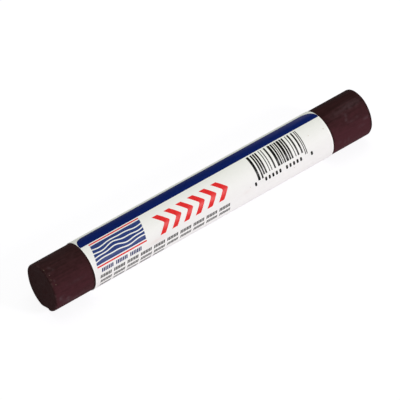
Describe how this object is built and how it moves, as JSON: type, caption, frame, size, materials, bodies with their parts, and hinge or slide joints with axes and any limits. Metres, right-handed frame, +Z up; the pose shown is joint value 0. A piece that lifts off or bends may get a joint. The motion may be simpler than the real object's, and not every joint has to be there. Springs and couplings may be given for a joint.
{
  "type": "furniture repair wax stick",
  "caption": "Slim round stick of dark red-brown filler wax, wrapped in a white paper label with a dark blue band and both ends left bare for rubbing into scratches.",
  "frame": {"origin": "on the surface that the stick lies on, under the middle of its length", "axes": "+X along the stick towards the end with the longer bare stretch of wax, +Z up, +Y to the side where the label's lap is"},
  "size_m": [0.1023, 0.0131, 0.013],
  "materials": {
    "wax": "dark red-brown filler wax, dull with a soft sheen",
    "adhesive": "clear yellowish pressure-sensitive adhesive",
    "paper": "white semi-gloss label paper with dark blue, red and black print"
  },
  "bodies": {
    "root": {"wax_stick": "wax", "label_adhesive": "adhesive", "label_paper": "paper"}
  },
  "joints": []
}
